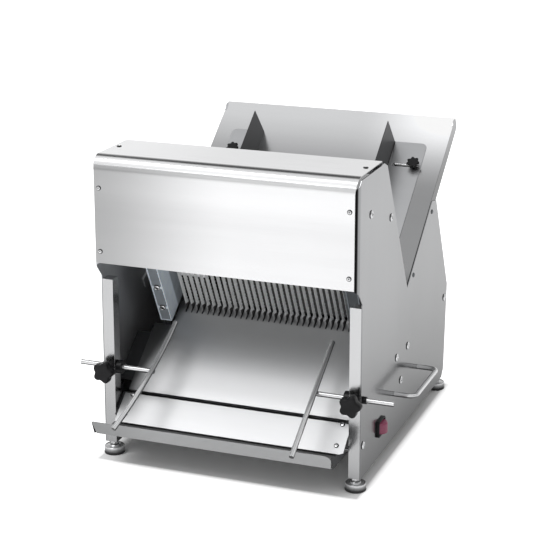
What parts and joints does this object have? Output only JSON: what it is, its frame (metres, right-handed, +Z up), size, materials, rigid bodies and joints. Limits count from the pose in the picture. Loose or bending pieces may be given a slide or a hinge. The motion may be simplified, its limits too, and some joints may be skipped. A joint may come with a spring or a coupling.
{
  "type": "bread slicer machine",
  "caption": "Counter-top stainless bread slicer: sloping rear chute, two opposed blade frames under a hood, comb discharge plate, guide rods, crumb tray, switch and carry handles.",
  "frame": {"origin": "middle of the outline on the floor, under the feet", "axes": "+X to the machine's right seen from the front, +Y to the rear, +Z up; the discharge side faces -Y"},
  "size_m": [0.643, 0.779, 0.6142],
  "materials": {
    "panel_steel": "brushed stainless sheet",
    "hood_steel": "bright polished stainless sheet",
    "plate_steel": "fine brushed stainless sheet",
    "leg_steel": "satin stainless tube",
    "screw_steel": "bright plated",
    "bar_chrome": "polished bar",
    "blade_steel": "ground blade steel",
    "frame_steel": "satin grey",
    "rail_nylon": "bluish white nylon",
    "drive_iron": "machined and painted",
    "black_plastic": "moulded, slight gloss",
    "red_plastic": "moulded, gloss",
    "belt_rubber": "matt",
    "foot_chrome": "plated over rubber"
  },
  "bodies": {
    "body": {"left_panel": "panel_steel", "right_panel": "panel_steel", "left_front_leg": "leg_steel", "right_front_leg": "leg_steel", "left_rear_leg": "leg_steel", "right_rear_leg": "leg_steel", "hood": "hood_steel", "hood_screws": "screw_steel", "panel_bolts": "screw_steel", "chute_screws": "screw_steel", "chute_plate": "plate_steel", "discharge_plate": "plate_steel", "plate_supports": "panel_steel", "lower_strip": "hood_steel", "strip_screws": "screw_steel", "strip_brackets": "panel_steel", "left_rail": "rail_nylon", "right_rail": "rail_nylon", "rail_brackets": "panel_steel", "rail_bolts": "screw_steel", "bearings": "drive_iron", "bearing_stands": "drive_iron", "base_pan": "panel_steel", "motor": "drive_iron", "motor_terminal_box": "black_plastic", "drive_belt": "belt_rubber", "rear_cover": "panel_steel", "cable_gland": "black_plastic", "left_handle": "bar_chrome", "right_handle": "bar_chrome", "switch_bezel": "black_plastic", "tray_runners": "panel_steel", "guide_studs": "screw_steel"},
    "frame_a": {"blade_frame_a": "frame_steel", "blades_a": "blade_steel"},
    "frame_b": {"blade_frame_b": "frame_steel", "blades_b": "blade_steel"},
    "conrod_a": {"conrod_a": "drive_iron"},
    "conrod_b": {"conrod_b": "drive_iron"},
    "crank": {"crankshaft": "drive_iron", "crank_pulley": "drive_iron"},
    "motor_rotor": {"motor_pulley": "drive_iron"},
    "switch": {"switch_rocker": "red_plastic"},
    "tray": {"crumb_tray": "plate_steel"},
    "left_bush": {"left_bush": "black_plastic"},
    "right_bush": {"right_bush": "black_plastic"},
    "left_rod": {"left_rod": "bar_chrome"},
    "right_rod": {"right_rod": "bar_chrome"},
    "left_knob": {"left_knob": "black_plastic"},
    "right_knob": {"right_knob": "black_plastic"},
    "left_guide": {"left_guide": "plate_steel"},
    "right_guide": {"right_guide": "plate_steel"},
    "left_guide_knob": {"left_guide_knob": "black_plastic"},
    "right_guide_knob": {"right_guide_knob": "black_plastic"},
    "foot_front_left": {"foot_front_left": "foot_chrome"},
    "foot_front_right": {"foot_front_right": "foot_chrome"},
    "foot_rear_left": {"foot_rear_left": "foot_chrome"},
    "foot_rear_right": {"foot_rear_right": "foot_chrome"}
  },
  "joints": [
    {"name": "crank_spin", "type": "hinge", "parent": "body", "child": "crank", "pos_m": [0, 0.02024, 0.10025], "axis": [1, 0, 0], "continuous": true},
    {"name": "motor_spin", "type": "hinge", "parent": "body", "child": "motor_rotor", "pos_m": [0, 0.18967, 0.102], "axis": [1, 0, 0], "continuous": true},
    {"name": "frame_a_slide", "type": "slide", "parent": "body", "child": "frame_a", "axis": [0, -0.4617, 0.887], "range_m": [-0.02, 0.02]},
    {"name": "frame_b_slide", "type": "slide", "parent": "body", "child": "frame_b", "axis": [0, -0.4617, 0.887], "range_m": [-0.02, 0.02]},
    {"name": "conrod_a_pivot", "type": "hinge", "parent": "frame_a", "child": "conrod_a", "pos_m": [-0.12, -0.04113, 0.16075], "axis": [1, 0, 0], "range_deg": [-10, 10]},
    {"name": "conrod_b_pivot", "type": "hinge", "parent": "frame_b", "child": "conrod_b", "pos_m": [0.12, 0.00588, 0.18522], "axis": [1, 0, 0], "range_deg": [-10, 10]},
    {"name": "tray_slide", "type": "slide", "parent": "body", "child": "tray", "axis": [0, -1, 0], "range_m": [0, 0.22]},
    {"name": "left_bush_turn", "type": "hinge", "parent": "body", "child": "left_bush", "pos_m": [-0.25, -0.25383, 0.181], "axis": [1, 0, 0], "range_deg": [-24, 0]},
    {"name": "left_rod_slide", "type": "slide", "parent": "left_bush", "child": "left_rod", "axis": [-1, 0, 0], "range_m": [-0.04, 0.04]},
    {"name": "left_knob_turn", "type": "hinge", "parent": "body", "child": "left_knob", "pos_m": [-0.251, -0.28033, 0.181], "axis": [0, -1, 0], "range_deg": [0, 720]},
    {"name": "left_guide_slide", "type": "slide", "parent": "body", "child": "left_guide", "axis": [-1, 0, 0], "range_m": [-0.012, 0.034]},
    {"name": "left_guide_knob_turn", "type": "hinge", "parent": "body", "child": "left_guide_knob", "pos_m": [-0.204, 0.26689, 0.50302], "axis": [0, -0.6088, 0.7934], "range_deg": [0, 720]},
    {"name": "right_bush_turn", "type": "hinge", "parent": "body", "child": "right_bush", "pos_m": [0.25, -0.25383, 0.181], "axis": [1, 0, 0], "range_deg": [-24, 0]},
    {"name": "right_rod_slide", "type": "slide", "parent": "right_bush", "child": "right_rod", "axis": [1, 0, 0], "range_m": [-0.04, 0.04]},
    {"name": "right_knob_turn", "type": "hinge", "parent": "body", "child": "right_knob", "pos_m": [0.251, -0.28033, 0.181], "axis": [0, -1, 0], "range_deg": [0, 720]},
    {"name": "right_guide_slide", "type": "slide", "parent": "body", "child": "right_guide", "axis": [1, 0, 0], "range_m": [-0.006, 0.038]},
    {"name": "right_guide_knob_turn", "type": "hinge", "parent": "body", "child": "right_guide_knob", "pos_m": [0.204, 0.26689, 0.50302], "axis": [0, -0.6088, 0.7934], "range_deg": [0, 720]},
    {"name": "switch_tilt", "type": "hinge", "parent": "body", "child": "switch", "pos_m": [0.2615, -0.14433, 0.086], "axis": [0, 0, 1], "range_deg": [0, 16]},
    {"name": "foot_front_left_turn", "type": "hinge", "parent": "body", "child": "foot_front_left", "pos_m": [-0.251, -0.25383, 0.014], "axis": [0, 0, 1], "continuous": true},
    {"name": "foot_front_right_turn", "type": "hinge", "parent": "body", "child": "foot_front_right", "pos_m": [0.251, -0.25383, 0.014], "axis": [0, 0, 1], "continuous": true},
    {"name": "foot_rear_left_turn", "type": "hinge", "parent": "body", "child": "foot_rear_left", "pos_m": [-0.251, 0.30817, 0.014], "axis": [0, 0, 1], "continuous": true},
    {"name": "foot_rear_right_turn", "type": "hinge", "parent": "body", "child": "foot_rear_right", "pos_m": [0.251, 0.30817, 0.014], "axis": [0, 0, 1], "continuous": true}
  ],
  "couplings": [
    {"joint": "motor_spin", "follows": "crank_spin", "ratio": 2.5},
    {"joint": "frame_b_slide", "follows": "frame_a_slide", "ratio": -1}
  ]
}
